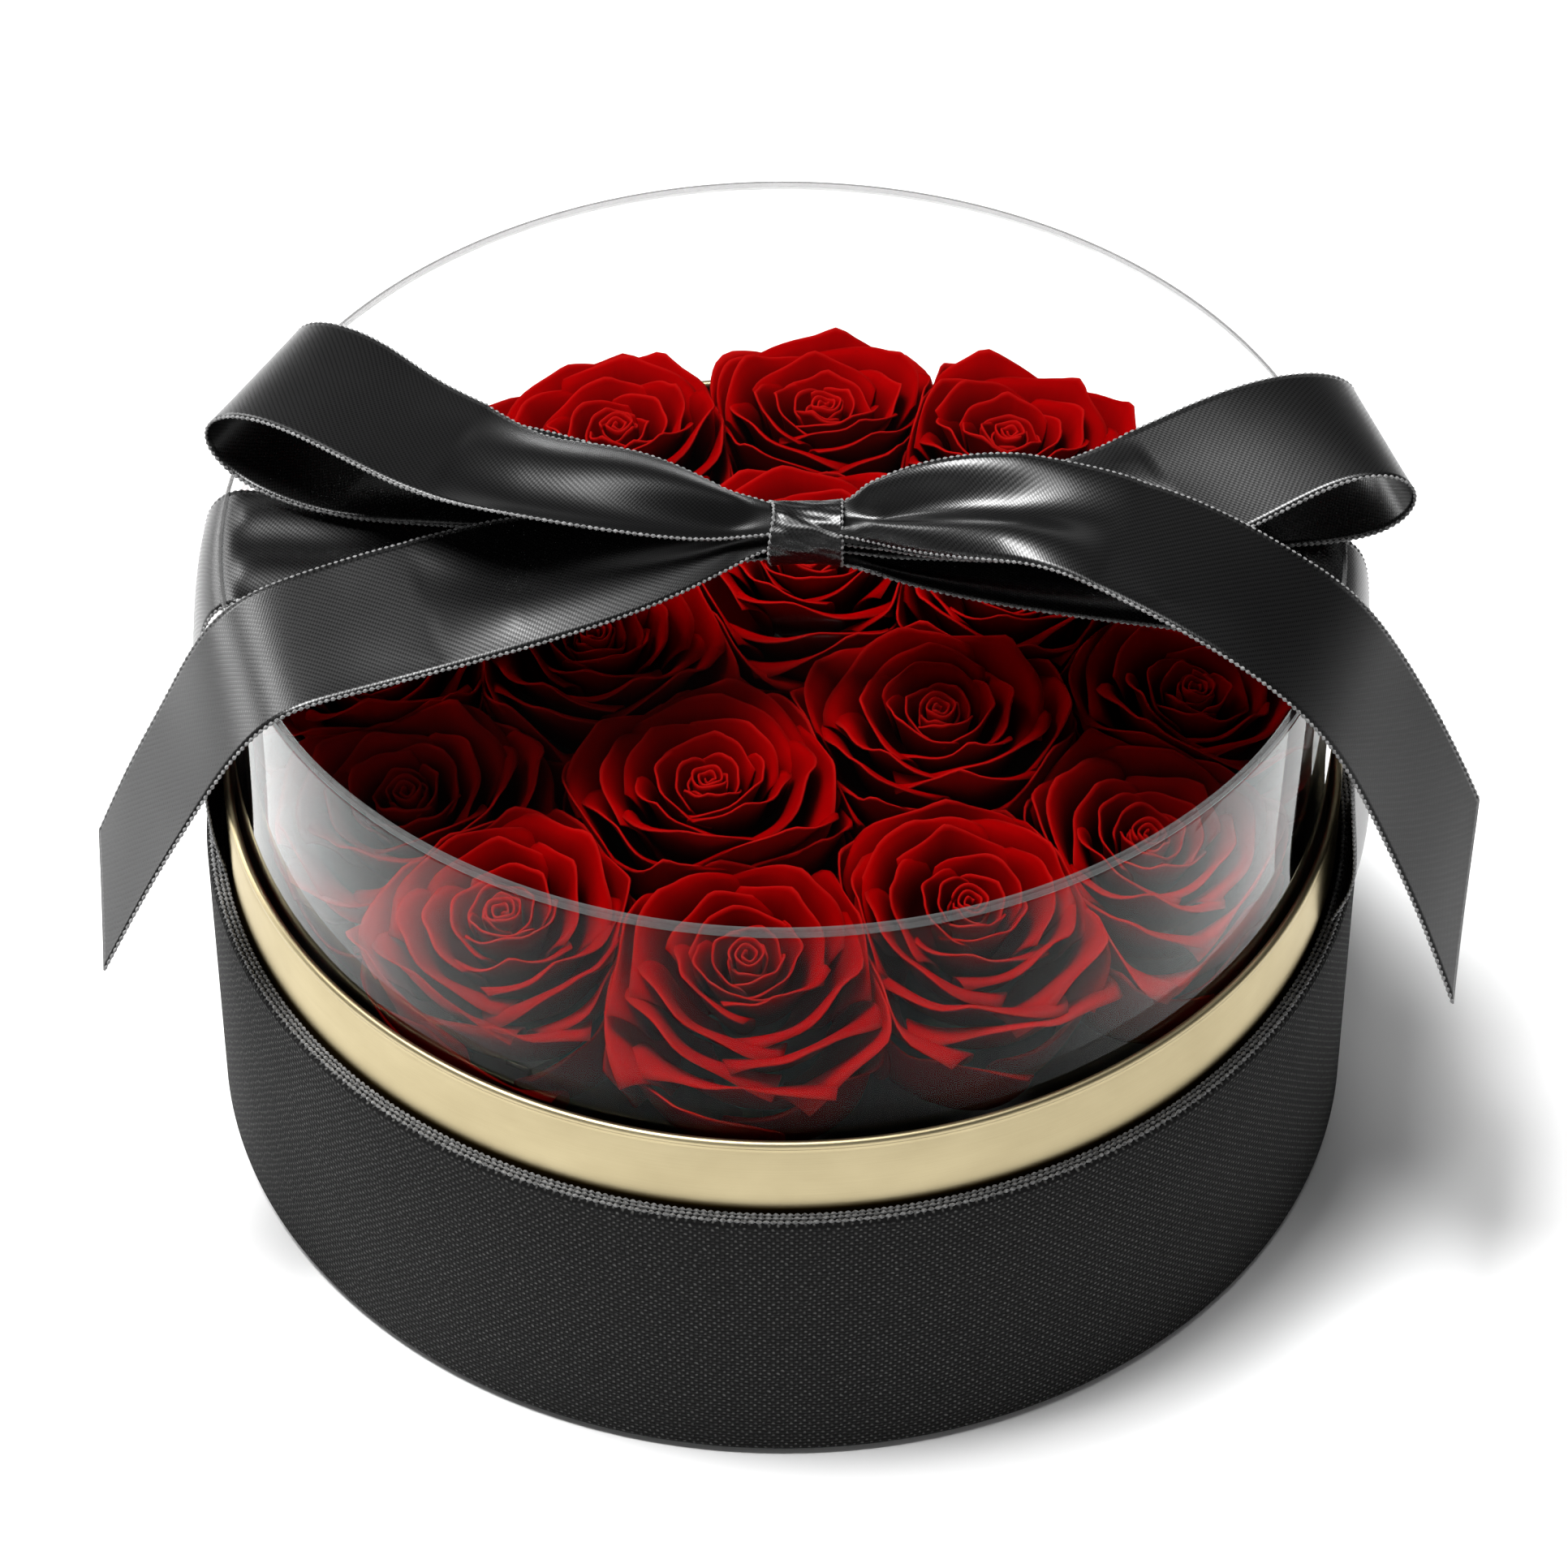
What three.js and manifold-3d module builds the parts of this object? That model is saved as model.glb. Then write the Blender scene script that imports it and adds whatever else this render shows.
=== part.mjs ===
// A round flower box: a cloth-covered base, a gilt collar, a clear lift-off lid, roses set in dry foam,
// and a satin ribbon tied over the lid. Millimetres, +Z up; the origin is the centre of the underside.
import * as THREE from "three";
import { mergeVertices } from "three/addons/utils/BufferGeometryUtils.js";
import Module from "manifold-3d";

const wasm = await Module();
wasm.setup();

// ---- Driving dimensions ----
const GAP = 0.3; // air between pieces that touch
const SIDES = 48; // facets round each big ring
const CLOTH = 0.6; // thickness of the cover cloth
const BASE_RADIUS = 106.2;
const BASE_HEIGHT = 60.5;
const HEM_INNER_RADIUS = 94; // how far the cover is turned in under the floor
const CUFF_DEPTH = 11; // how far the cover is turned down inside the wall
const WALL_BOARD = 1.2;
const FLOOR_BOARD = 2;
const COLLAR_RADIUS = 102;
const COLLAR_THICKNESS = 1;
const COLLAR_TOP = 76.8;
const BEAD_RADIUS = 0.85; // the rolled bead along the collar's top edge
const BEAD_INSET = 0.6; // the bead's middle is this far inside the collar's outer face
const SLOT_DEPTH = 16; // depth of the slot that takes the ribbon's ends
const LID_RADIUS = 100;
const LID_WALL = 2;
const LID_TOP = 126.6;
const LID_PLATE = 2;
const LEDGE_HEIGHT = 58; // the sleeve's top edge, which the lid stands on
const SLEEVE_WALL = 4;
const FOAM_TOP = 38;
const CARD = 1;
const STEM_RADIUS = 2;
const STEM_LENGTH = 30;
const ROSE_RADIUS = 23.5;
const ROSE_HEIGHT = 44;
const RIBBON_WIDTH = 30;
const RIBBON = 0.6;
const KNOT = { x: 4, y: -8, z: 133.2, length: 13, depth: 12, height: 11.4, wall: 0.7 };

// Each rose: where its eye is, and how high. Those of the outer ring lean out towards the wall.
const ROSES = [
  [-13, -34, 99], [28, -17, 100], [5, 24, 101], [-34, 4, 99], [40, 19, 99],
  [-49, -59, 91], [-6, -70, 91], [33, -58, 92], [65, -40, 91], [75, -3, 92], [66, 35, 95],
  [43, 61, 98], [8, 69, 98], [-31, 63, 98], [-62, 40, 96], [-74, 4, 93], [-67, -30, 92],
];
const OUTER_RING = 60; // roses further out than this lean
const LEAN = 9; // degrees

// A ribbon strip's stations: x, y, z of its middle line, then the heading and the tilt, in degrees,
// of the line across it from its front edge to its back edge, and its width there.
const LOOP_LEFT = [
  [2.5, -8, 135.9, 90, 0, 6], [-4, -8, 136.4, 92, 4, 7.5], [-12, -8.5, 139.4, 98, 12, 15],
  [-27, -8.5, 144, 88, 2, 23],
  [-42, -7, 145.5, 83, -9, 28], [-57, -1, 146, 70, -6, 30], [-69, 7, 146.5, 63, -7, 30],
  [-79, 15.5, 147, 56, -3, 30], [-87, 20.5, 146.5, 55, 0, 30], [-93.5, 24.5, 144, 58, 3, 30],
  [-96.8, 26, 139, 62, 2, 30], [-94.5, 25, 132.8, 64, 0, 30], [-87, 20, 130.4, 63, 0, 30],
  [-73, 13, 130.6, 65, 0, 30], [-56, 10, 131, 72, 0, 28], [-34, 5, 131.3, 82, 0, 22],
  [-15, -2.5, 131.6, 88, 0, 14], [-4, -7.4, 131.8, 90, 0, 7.5], [2.5, -8, 131.8, 90, 0, 6],
];
const LOOP_RIGHT = [
  [5.5, -8, 133.8, 90, 0, 6], [12, -8, 133.8, 90, 0, 7.5], [20, -8.5, 134, 96, 0, 14],
  [34, -9, 135.4, 106, 0, 21], [51, -8, 137.4, 115, 0, 27], [68, -3.5, 139.4, 119, 5, 30],
  [81, 2, 142.8, 120, 4, 30],
  [91, 5, 145.8, 117, 0, 30], [99, 7, 146, 113, 0, 30], [105.4, 8.5, 143.6, 109, 0, 30],
  [108.2, 10, 138.4, 106, 0, 30], [106.5, 10.5, 132.6, 106, 0, 30], [99.5, 8.5, 130.2, 107, 0, 30],
  [84, 6, 130.2, 109, 0, 30], [65, 3, 130.5, 110, 0, 28], [42, -1, 130.8, 104, 0, 22],
  [22, -5, 131.4, 96, 0, 14], [12, -7.6, 131.8, 90, 0, 7.5], [5.5, -8, 131.8, 90, 0, 6],
];
const TAIL_LEFT = [
  [2.5, -8, 133.8, 90, 0, 6], [-4, -9, 133.8, 92, 0, 7.5], [-13, -12.5, 133.7, 96, 0, 15],
  [-27, -16.5, 134, 100, 3, 24],
  [-44, -21, 133.8, 103, 5, 29], [-62, -26.5, 132.6, 107, 7, 30], [-79, -31.5, 130.6, 109, 5, 30],
  [-91, -35.5, 128.8, 109, 1, 30], [-98.5, -37.5, 121, 107, 0, 30], [-104.5, -40.5, 111, 104, 0, 30],
  [-112, -48, 101, 102, 0, 30], [-119.5, -58.5, 90, 99, 0, 30],
];
const TAIL_RIGHT = [
  [5.5, -8, 135.9, 90, 0, 6], [12, -8.6, 136.4, 92, 0, 7.5], [20, -12, 141, 89, 8, 16],
  [33, -15.5, 145, 84, 5, 23], [46, -18, 146, 79, -5, 28], [58, -21, 144.6, 71, -2, 30],
  [71, -27, 142.2, 65, 0, 30], [84, -33, 137.4, 64, 0, 30], [94.5, -36.5, 130.4, 66, 2, 30],
  [102.6, -38, 119, 66, 0, 30], [110, -42, 106, 64, 0, 30], [117.3, -47.5, 91.5, 64, 0, 30],
  [123.4, -54, 76, 66, 0, 30],
];
const TAIL_CUT = { left: 0.02, right: 0.09 }; // share of the strip that the slanted end takes off one edge

// The straps' stations: reach from the axis, and height. Each rises from the slot in a bulge of its own,
// and both then lie on the lid, where a third number gives the width as it gathers to the knot.
const STRAP_IN_SLOT = [[102.7, 46], [102.7, 53], [102.65, 59.4]];
const STRAP_RISE = {
  left: [[103.4, 62.2], [104.6, 64.4], [105.2, 69], [105.7, 77], [106, 86], [106, 95], [105.5, 106]],
  right: [[103.6, 62.2], [106, 63.2], [107.9, 66.6], [107.8, 73], [106.8, 83], [105.9, 94], [105, 106]],
};
const STRAP_OVER_LID = [
  [104.3, 117, 30], [103.4, 124, 30], [101.4, 127.5, 30], [97, 127.6, 30], [84, 127.4, 28],
  [66, 127.4, 25], [46, 127.5, 21], [28, 128.2, 16], [16, 129.2, 10.5],
];
const STRAP_Y = { left: -4.5, right: -17 }; // the middle of each strap where it crosses the rim
const STRAP_CURVED_FROM = 70; // beyond this reach the strap bends round with the wall

// ---- Materials ----
const finish = (color, roughness, metalness = 0) =>
  new THREE.MeshStandardMaterial({ color, roughness, metalness });
const blackCanvas = finish(0x121212, 0.9);
const greyBoard = finish(0x8c8880, 0.95);
const blackCard = finish(0x0c0c0c, 0.85);
const gilt = finish(0xd7c696, 0.35, 0.9);
const foamGrey = finish(0x3c4038, 1);
const clearAcrylic = finish(0xf2f5f6, 0.05);
clearAcrylic.transparent = true;
clearAcrylic.opacity = 0.25;
const rosePetal = finish(0x8a0006, 0.65);
const roseGreen = finish(0x2c4a1e, 0.7);
const blackSatin = finish(0x16161a, 0.4);

// ---- Shapes ----
const box = new THREE.Group();

function add(name, geometry, material) {
  const mesh = new THREE.Mesh(geometry, material);
  mesh.name = name;
  box.add(mesh);
  return mesh;
}

// A solid turned round the Z axis from [radius, height] points that run anticlockwise.
function turned(profile, sides = SIDES) {
  const points = profile.map(([radius, height]) => new THREE.Vector2(radius, height));
  return new THREE.LatheGeometry(points, sides).rotateX(Math.PI / 2);
}

function disc(radius, low, high) {
  return turned([[0, low], [radius, low], [radius, high], [0, high]]);
}

function ring(inner, outer, low, high) {
  return turned([[outer, low], [outer, high], [inner, high], [inner, low], [outer, low]]);
}

function solidOf(geometry) {
  const bare = geometry.clone();
  bare.deleteAttribute("normal");
  bare.deleteAttribute("uv");
  const merged = mergeVertices(bare, 1e-4);
  return new wasm.Manifold(
    new wasm.Mesh({
      numProp: 3,
      vertProperties: merged.attributes.position.array,
      triVerts: new Uint32Array(merged.index.array),
    }),
  );
}

function geometryOf(solid) {
  const { vertProperties, triVerts } = solid.getMesh();
  return new THREE.BufferGeometry()
    .setAttribute("position", new THREE.BufferAttribute(new Float32Array(vertProperties), 3))
    .setIndex(new THREE.BufferAttribute(new Uint32Array(triVerts), 1));
}

// A closed sheet of even thickness over the surface pointAt(t, s), with t and s from 0 to 1.
function sheet(pointAt, steps, columns, thickness) {
  const rows = steps + 1;
  const cols = columns + 1;
  const positions = [];
  const eps = 1e-3;
  for (const side of [1, -1]) {
    for (let i = 0; i < rows; i++) {
      for (let j = 0; j < cols; j++) {
        const t = i / steps;
        const s = j / columns;
        const along = pointAt(Math.min(1, t + eps), s).sub(pointAt(Math.max(0, t - eps), s));
        const across = pointAt(t, Math.min(1, s + eps)).sub(pointAt(t, Math.max(0, s - eps)));
        const normal = along.cross(across).normalize();
        positions.push(...pointAt(t, s).addScaledVector(normal, (side * thickness) / 2));
      }
    }
  }
  const indices = [];
  const quad = (a, b, c, d) => indices.push(a, b, c, a, c, d);
  const top = (i, j) => i * cols + j;
  const under = (i, j) => rows * cols + top(i, j);
  for (let i = 0; i < steps; i++) {
    for (let j = 0; j < columns; j++) {
      quad(top(i, j), top(i + 1, j), top(i + 1, j + 1), top(i, j + 1));
      quad(under(i, j), under(i, j + 1), under(i + 1, j + 1), under(i + 1, j));
    }
    quad(top(i, 0), under(i, 0), under(i + 1, 0), top(i + 1, 0));
    quad(top(i, columns), top(i + 1, columns), under(i + 1, columns), under(i, columns));
  }
  for (let j = 0; j < columns; j++) {
    quad(top(0, j), top(0, j + 1), under(0, j + 1), under(0, j));
    quad(top(steps, j), under(steps, j), under(steps, j + 1), top(steps, j + 1));
  }
  return new THREE.BufferGeometry()
    .setAttribute("position", new THREE.Float32BufferAttribute(positions, 3))
    .setIndex(indices);
}

// The surface of a ribbon strip through its stations. cut shortens its back edge, for a slanted end.
function ribbonSurface(stations, cut = 0) {
  const middle = new THREE.CatmullRomCurve3(
    stations.map(([x, y, z]) => new THREE.Vector3(x, y, z)), false, "catmullrom", 0.5);
  const lie = new THREE.CatmullRomCurve3(
    stations.map(([, , , heading, tilt, width]) => new THREE.Vector3(heading, tilt, width)),
    false, "catmullrom", 0.5);
  return (t, s) => {
    const place = t * (1 - cut * s);
    const { x: heading, y: tilt, z: width } = lie.getPoint(place);
    const turn = THREE.MathUtils.degToRad(heading);
    const rise = THREE.MathUtils.degToRad(tilt);
    const across = new THREE.Vector3(
      Math.cos(turn) * Math.cos(rise), Math.sin(turn) * Math.cos(rise), Math.sin(rise));
    return middle.getPoint(place).addScaledVector(across, (s - 0.5) * width);
  };
}

// The surface of a strap: it follows the round wall up from the slot, then lies flat to the knot.
function strapSurface(name) {
  const side = name === "left" ? -1 : 1;
  const rimY = STRAP_Y[name];
  const knotMouth = [side * KNOT.x + 8, 129.9, 6.2];
  const knotEnd = [side * KNOT.x + 1.5, 129.9, 5.2];
  const stations = [...STRAP_IN_SLOT, ...STRAP_RISE[name], ...STRAP_OVER_LID, knotMouth, knotEnd];
  const path = new THREE.CatmullRomCurve3(
    stations.map(([reach, z, width = RIBBON_WIDTH]) => new THREE.Vector3(reach, z, width)),
    false, "catmullrom", 0.5);
  return (t, s) => {
    const { x: reach, y: z, z: width } = path.getPoint(t);
    const y = THREE.MathUtils.lerp(KNOT.y, rimY, Math.min(1, Math.max(0, reach) / LID_RADIUS))
      + (s - 0.5) * width * side;
    const sagitta = reach - Math.sqrt(Math.max(0, reach * reach - y * y));
    const curved = THREE.MathUtils.smoothstep(reach, STRAP_CURVED_FROM, LID_RADIUS);
    return new THREE.Vector3(side * (reach - curved * sagitta), y, z);
  };
}

// ---- Base ----
const cuffInner = COLLAR_RADIUS + 1.4; // the slot's outer face
const cuffOuter = cuffInner + CLOTH;
const boardInner = cuffOuter + GAP;
const boardOuter = boardInner + WALL_BOARD;
const coverInner = BASE_RADIUS - CLOTH;
const hemLow = CLOTH + GAP;
const boardLow = hemLow + CLOTH + GAP;
const floorTop = boardLow + FLOOR_BOARD;
const insideLow = floorTop + GAP;
const coverTop = BASE_HEIGHT;

add("base_lining_sheet", disc(boardInner, 0, CLOTH), blackCard);
add("base_floor_board", disc(boardInner - GAP, boardLow, floorTop), greyBoard);
add("base_wall_board", ring(boardInner, boardOuter, boardLow, coverTop - CLOTH - GAP), greyBoard);

// The cover is one cloth; its turned-in top and foot are pieces of their own, so that each stays simple.
const turnInOuter = coverInner - GAP;
add("wall_cloth_cover", turned([
  [coverInner, hemLow], [BASE_RADIUS - 0.5, hemLow], [BASE_RADIUS, hemLow + 0.5],
  [BASE_RADIUS, coverTop - 0.5], [BASE_RADIUS - 0.5, coverTop], [coverInner, coverTop], [coverInner, hemLow],
]), blackCanvas);
add("wall_cloth_cuff", turned([
  [cuffInner, coverTop - CUFF_DEPTH], [cuffOuter, coverTop - CUFF_DEPTH], [cuffOuter, coverTop - CLOTH],
  [turnInOuter, coverTop - CLOTH], [turnInOuter, coverTop], [cuffInner, coverTop],
  [cuffInner, coverTop - CUFF_DEPTH],
]), blackCanvas);
add("wall_cloth_hem", ring(HEM_INNER_RADIUS, turnInOuter, hemLow, hemLow + CLOTH), blackCanvas);

const spacerOuter = boardInner - GAP;
add("slot_spacer_ring", ring(COLLAR_RADIUS + GAP, spacerOuter, insideLow, coverTop - SLOT_DEPTH),
  greyBoard);

// The collar is one rolled sheet with a bead along its top edge, which lets the ribbon's ends pass.
const collarInner = COLLAR_RADIUS - COLLAR_THICKNESS;
const beadMiddle = COLLAR_TOP - BEAD_RADIUS;
const bead = [];
for (let step = 0; step <= 4; step++) {
  const angle = THREE.MathUtils.degToRad(-50 + step * 52);
  bead.push([COLLAR_RADIUS - BEAD_INSET + BEAD_RADIUS * Math.cos(angle),
    beadMiddle + BEAD_RADIUS * Math.sin(angle)]);
}
add("gilt_collar", turned([
  [COLLAR_RADIUS, insideLow], [COLLAR_RADIUS, beadMiddle - 1], ...bead,
  [collarInner, beadMiddle], [collarInner, insideLow], [COLLAR_RADIUS, insideLow],
]), gilt);

const sleeveOuter = collarInner - GAP;
const sleeveInner = sleeveOuter - SLEEVE_WALL;
add("lid_ledge_sleeve", ring(sleeveInner, sleeveOuter, insideLow, LEDGE_HEIGHT), blackCard);

// ---- Roses ----
// A rose stands on its own frame: the origin is where the head meets its stem, +Z is out of the head.
function roseFrame([x, y, eye]) {
  const distance = Math.hypot(x, y);
  const lean = distance > OUTER_RING ? THREE.MathUtils.degToRad(LEAN) : 0;
  const out = new THREE.Vector3(x, y, 0).normalize();
  const axis = new THREE.Vector3(0, 0, 1).cross(out);
  const turn = new THREE.Quaternion().setFromAxisAngle(axis, lean);
  const head = new THREE.Vector3(0, 0, ROSE_HEIGHT - 4).applyQuaternion(turn);
  const foot = new THREE.Vector3(x, y, eye).sub(head);
  return new THREE.Matrix4().compose(foot, turn, new THREE.Vector3(1, 1, 1));
}

// The head's outline: a cup whose rim rolls out, round a bud that stands up in the middle.
function roseHead() {
  const r = ROSE_RADIUS;
  const h = ROSE_HEIGHT;
  return turned([
    [0, GAP], [6, GAP], [0.66 * r, 0.2 * h], [0.9 * r, 0.5 * h], [r, 0.78 * h],
    [0.62 * r, h], [0.25 * r, 0.93 * h], [0, 0.9 * h],
  ], 12);
}

function roseStem() {
  return turned([
    [0, -STEM_LENGTH], [STEM_RADIUS, 4 - STEM_LENGTH], [STEM_RADIUS, -5], [5.5, -1.5], [5.5, 0], [0, 0],
  ], 6);
}

function stemHole() {
  const length = STEM_LENGTH + 4;
  return new THREE.CylinderGeometry(STEM_RADIUS + 0.5, STEM_RADIUS + 0.5, length, 8)
    .rotateX(Math.PI / 2)
    .translate(0, 0, -length / 2 - 2);
}

// The half-space past the plane midway between two roses, as a big block.
function beyondMidway(from, to) {
  const start = new THREE.Vector3(from[0], from[1], 0);
  const way = new THREE.Vector3(to[0], to[1], 0).sub(start);
  const size = 4 * ROSE_RADIUS;
  return solidOf(
    new THREE.BoxGeometry(size, size, 3 * ROSE_HEIGHT)
      .translate(way.length() / 2 - GAP / 2 + size / 2, 0, 0)
      .rotateZ(Math.atan2(way.y, way.x))
      .translate(start.x, start.y, from[2] - ROSE_HEIGHT / 2));
}

const insideLid = solidOf(disc(LID_RADIUS - LID_WALL - 1, FOAM_TOP, LID_TOP - LID_PLATE - 1));
const tray = sleeveInner - GAP;
let foam = solidOf(disc(tray, insideLow, FOAM_TOP));
let card = solidOf(disc(tray, FOAM_TOP + GAP, FOAM_TOP + GAP + CARD));

ROSES.forEach((rose, index) => {
  const number = String(index + 1).padStart(2, "0");
  const frame = roseFrame(rose);
  let head = solidOf(roseHead().applyMatrix4(frame)).intersect(insideLid);
  for (const other of ROSES) {
    const apart = Math.hypot(other[0] - rose[0], other[1] - rose[1]);
    if (other !== rose && apart < 2.3 * ROSE_RADIUS) {
      head = head.subtract(beyondMidway(rose, other));
    }
  }
  add(`rose_head_${number}`, geometryOf(head), rosePetal);
  add(`rose_stem_${number}`, roseStem().applyMatrix4(frame), roseGreen);
  const hole = solidOf(stemHole().applyMatrix4(frame));
  foam = foam.subtract(hole);
  card = card.subtract(hole);
});
add("floral_foam", geometryOf(foam), foamGrey);
add("topper_card", geometryOf(card), blackCard);

// ---- Lid ----
const plateLow = LID_TOP - LID_PLATE;
add("lid_wall", ring(LID_RADIUS - LID_WALL, LID_RADIUS, LEDGE_HEIGHT + GAP, plateLow - GAP),
  clearAcrylic);
add("lid_top_plate", disc(LID_RADIUS, plateLow, LID_TOP), clearAcrylic);

// ---- Ribbon ----
add("ribbon_strap_left", sheet(strapSurface("left"), 30, 3, RIBBON), blackSatin);
add("ribbon_strap_right", sheet(strapSurface("right"), 30, 3, RIBBON), blackSatin);
add("bow_loop_left", sheet(ribbonSurface(LOOP_LEFT), 40, 2, RIBBON), blackSatin);
add("bow_loop_right", sheet(ribbonSurface(LOOP_RIGHT), 40, 2, RIBBON), blackSatin);
add("bow_tail_left", sheet(ribbonSurface(TAIL_LEFT, TAIL_CUT.left), 24, 2, RIBBON), blackSatin);
add("bow_tail_right", sheet(ribbonSurface(TAIL_RIGHT, TAIL_CUT.right), 28, 2, RIBBON), blackSatin);

// The knot is a short wrap round the gathered strips, open at both ends.
function knotSleeve() {
  const outline = (depth, height) => new THREE.Shape().absellipse(0, 0, depth / 2, height / 2, 0, 2 * Math.PI);
  const shape = outline(KNOT.depth, KNOT.height);
  shape.holes.push(outline(KNOT.depth - 2 * KNOT.wall, KNOT.height - 2 * KNOT.wall));
  return new THREE.ExtrudeGeometry(shape, { depth: KNOT.length, bevelEnabled: false, curveSegments: 12 })
    .translate(0, 0, -KNOT.length / 2)
    .rotateX(Math.PI / 2)
    .rotateZ(Math.PI / 2)
    .translate(KNOT.x, KNOT.y, KNOT.z);
}
add("bow_knot_wrap", knotSleeve(), blackSatin);

export default box;
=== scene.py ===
"""A round flower box: canvas base, gilt collar, clear lid, a bed of red roses and a tied satin bow.

Everything is in metres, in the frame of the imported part. The smooth, detailed pieces made here stand for
the part's plain solids. The hidden boards, foam and stems are the part's own, with finished materials.
"""
import math
import random

import bpy
import numpy as np
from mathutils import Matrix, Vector


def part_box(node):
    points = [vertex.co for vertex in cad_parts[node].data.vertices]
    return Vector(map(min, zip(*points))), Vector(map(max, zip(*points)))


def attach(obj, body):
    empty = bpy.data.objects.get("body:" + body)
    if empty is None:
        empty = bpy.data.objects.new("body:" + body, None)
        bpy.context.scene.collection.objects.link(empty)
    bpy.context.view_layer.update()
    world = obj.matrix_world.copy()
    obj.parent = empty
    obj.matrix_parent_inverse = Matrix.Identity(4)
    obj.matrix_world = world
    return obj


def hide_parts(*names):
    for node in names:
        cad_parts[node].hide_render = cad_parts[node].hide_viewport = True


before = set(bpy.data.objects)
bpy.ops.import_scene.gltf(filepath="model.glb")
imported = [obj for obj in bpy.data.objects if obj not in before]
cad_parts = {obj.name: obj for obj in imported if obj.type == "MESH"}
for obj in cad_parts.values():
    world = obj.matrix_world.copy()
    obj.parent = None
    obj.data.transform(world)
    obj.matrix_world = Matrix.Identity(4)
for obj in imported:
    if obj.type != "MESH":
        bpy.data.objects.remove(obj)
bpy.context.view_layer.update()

MM = 0.001
SEGMENTS = 256  # round each big ring

# ---- Sizes read from the frame ----
cover_low, cover_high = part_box("wall_cloth_cover")
collar_low, collar_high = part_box("gilt_collar")
wall_low, wall_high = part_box("lid_wall")
plate_low, plate_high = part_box("lid_top_plate")
knot_low, knot_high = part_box("bow_knot_wrap")
card_low, card_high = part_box("topper_card")
BASE_RADIUS = cover_high.y
COLLAR_RADIUS = 102 * MM
LID_RADIUS = wall_high.y
LID_WALL = 2 * MM
ROSE_COUNT = sum(name.startswith("rose_head_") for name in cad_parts)

# ---- Cover ----
CLOTH = 0.6 * MM
THREAD = 0.8 * MM  # pitch of the canvas's threads
COVER_CORNER = 0.9 * MM
CUFF_RADIUS = 103.15 * MM  # where the cover turns in over the wall's top
CUFF_DEPTH = 11 * MM
HEM_RADIUS = 94 * MM  # where the cover ends under the foot
RIM_PITCH = 1.25 * MM
RIM_THREAD = 0.42 * MM
# Each row of threads on the rim: how far it is in from the cover's outside, and below the cover's top.
RIM_ROWS = [(0.95 * MM, -0.05 * MM), (1.85 * MM, -0.05 * MM), (2.72 * MM, 0.05 * MM)]
RIM_POINTS = 721

# ---- Collar and lid ----
COLLAR_WALL = 1 * MM
COLLAR_STEP = 0.25 * MM  # the band stands out this far below the groove under the bead
BEAD = 0.85 * MM
SOFT_EDGE = 0.3 * MM
SAWN_BAND = 0.8 * MM  # the plate's outermost ring, where the sawn edge shows through its top

# ---- Ribbon ----
RIBBON_WIDTH = 30 * MM
RIBBON = 0.4 * MM
PICOT_PITCH = 1.15 * MM
TWILL = 7.8  # radians of the satin's fine pattern for each millimetre
PICOT_RADIUS = 0.36 * MM
WRAP_WIDTH = 15 * MM  # the knot is wrapped with a narrower ribbon
WRAP_THICKNESS = 0.5 * MM
STRIP_COLUMNS = 24
STRIP_STEP = 1.1  # millimetres between two rows of a strip
STRIP_SMOOTHING = 5  # rows

# ---- Petals ----
PETAL = 0.35 * MM
STEM_LENGTH = 30 * MM
EYE_HEIGHT = 40 * MM  # from the stem's top to the rose's eye
ROSE_SPREAD = 23.5 * MM
NEIGHBOUR_WITHIN = 2.4  # roses further apart than this many spreads don't touch
PETAL_OVERLAP = 0.3 * MM  # how far a petal may pass the middle between two roses
WALL_GAP = 1.2 * MM
CARD_GAP = 1 * MM
HEADROOM = 106 * MM  # no petal reaches higher
GIVE_TO_ROSE, GIVE_TO_WALL, GIVE_TO_HEADROOM = 3.5 * MM, 2.0 * MM, 2.5 * MM

# ---- Camera ----
LENS_MM = 140
CAMERA_DISTANCE = 1.1239
CAMERA_ELEVATION = math.radians(43.81)
CAMERA_TARGET = Vector((0, 0, 0.06435))
CAMERA_SHIFT = 0.001

# ---- Studio: its brightness, and the sines of the elevations where that starts and stops to fall ----
HORIZON = 0.42
CEILING = 0.06
HORIZON_TOP = 0.05
CEILING_START = 0.45
LIGHT_AIM = Vector((0, 0, 0.08))


# =========================================================== camera, floor and light
def make_camera():
    data = bpy.data.cameras.new("camera")
    data.lens = LENS_MM
    data.shift_x = CAMERA_SHIFT
    camera = bpy.data.objects.new("camera", data)
    bpy.context.collection.objects.link(camera)
    back = Vector((0, -math.cos(CAMERA_ELEVATION), math.sin(CAMERA_ELEVATION)))
    camera.location = CAMERA_TARGET + back * CAMERA_DISTANCE
    camera.rotation_euler = (-back).to_track_quat("-Z", "Y").to_euler()
    bpy.context.scene.camera = camera


def soft_box(name, azimuth, elevation, distance, width, height, power):
    """A rectangular light that faces the object. Azimuth 0 is straight behind it, 90 is on its right."""
    data = bpy.data.lights.new(name, "AREA")
    data.shape = "RECTANGLE"
    data.size = width
    data.size_y = height
    data.energy = power
    light = bpy.data.objects.new(name, data)
    bpy.context.collection.objects.link(light)
    turn, rise = math.radians(azimuth), math.radians(elevation)
    way = Vector((math.sin(turn) * math.cos(rise), math.cos(turn) * math.cos(rise), math.sin(rise)))
    light.location = LIGHT_AIM + way * distance
    light.rotation_euler = (-way).to_track_quat("-Z", "Y").to_euler()


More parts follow.
